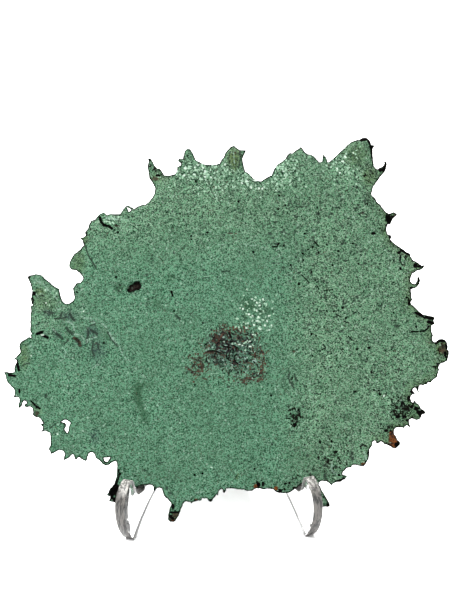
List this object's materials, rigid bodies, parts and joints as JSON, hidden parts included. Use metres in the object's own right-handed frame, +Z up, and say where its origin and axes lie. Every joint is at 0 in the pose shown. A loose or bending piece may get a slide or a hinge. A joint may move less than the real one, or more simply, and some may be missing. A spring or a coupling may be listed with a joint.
{
  "type": "native copper nugget",
  "caption": "Thin ragged sheet of native copper with spiky edges and a pitted green patina, leaning on a folded clear acrylic easel.",
  "frame": {"origin": "middle of the base of the whole piece's box, on the surface that the easel stands on", "axes": "+X to the right across the sheet, +Z up, and -Y toward the viewer, so the sheet's face looks to -Y and leans back toward +Y"},
  "size_m": [0.186, 0.084, 0.1593],
  "materials": {
    "green_patina": "fine-grained green patina with dark pits and bare copper spots",
    "clear_acrylic": "clear and polished on the faces, frosted on the cut edges"
  },
  "bodies": {
    "root": {"copper_sheet": "green_patina", "acrylic_easel": "clear_acrylic"}
  },
  "joints": []
}
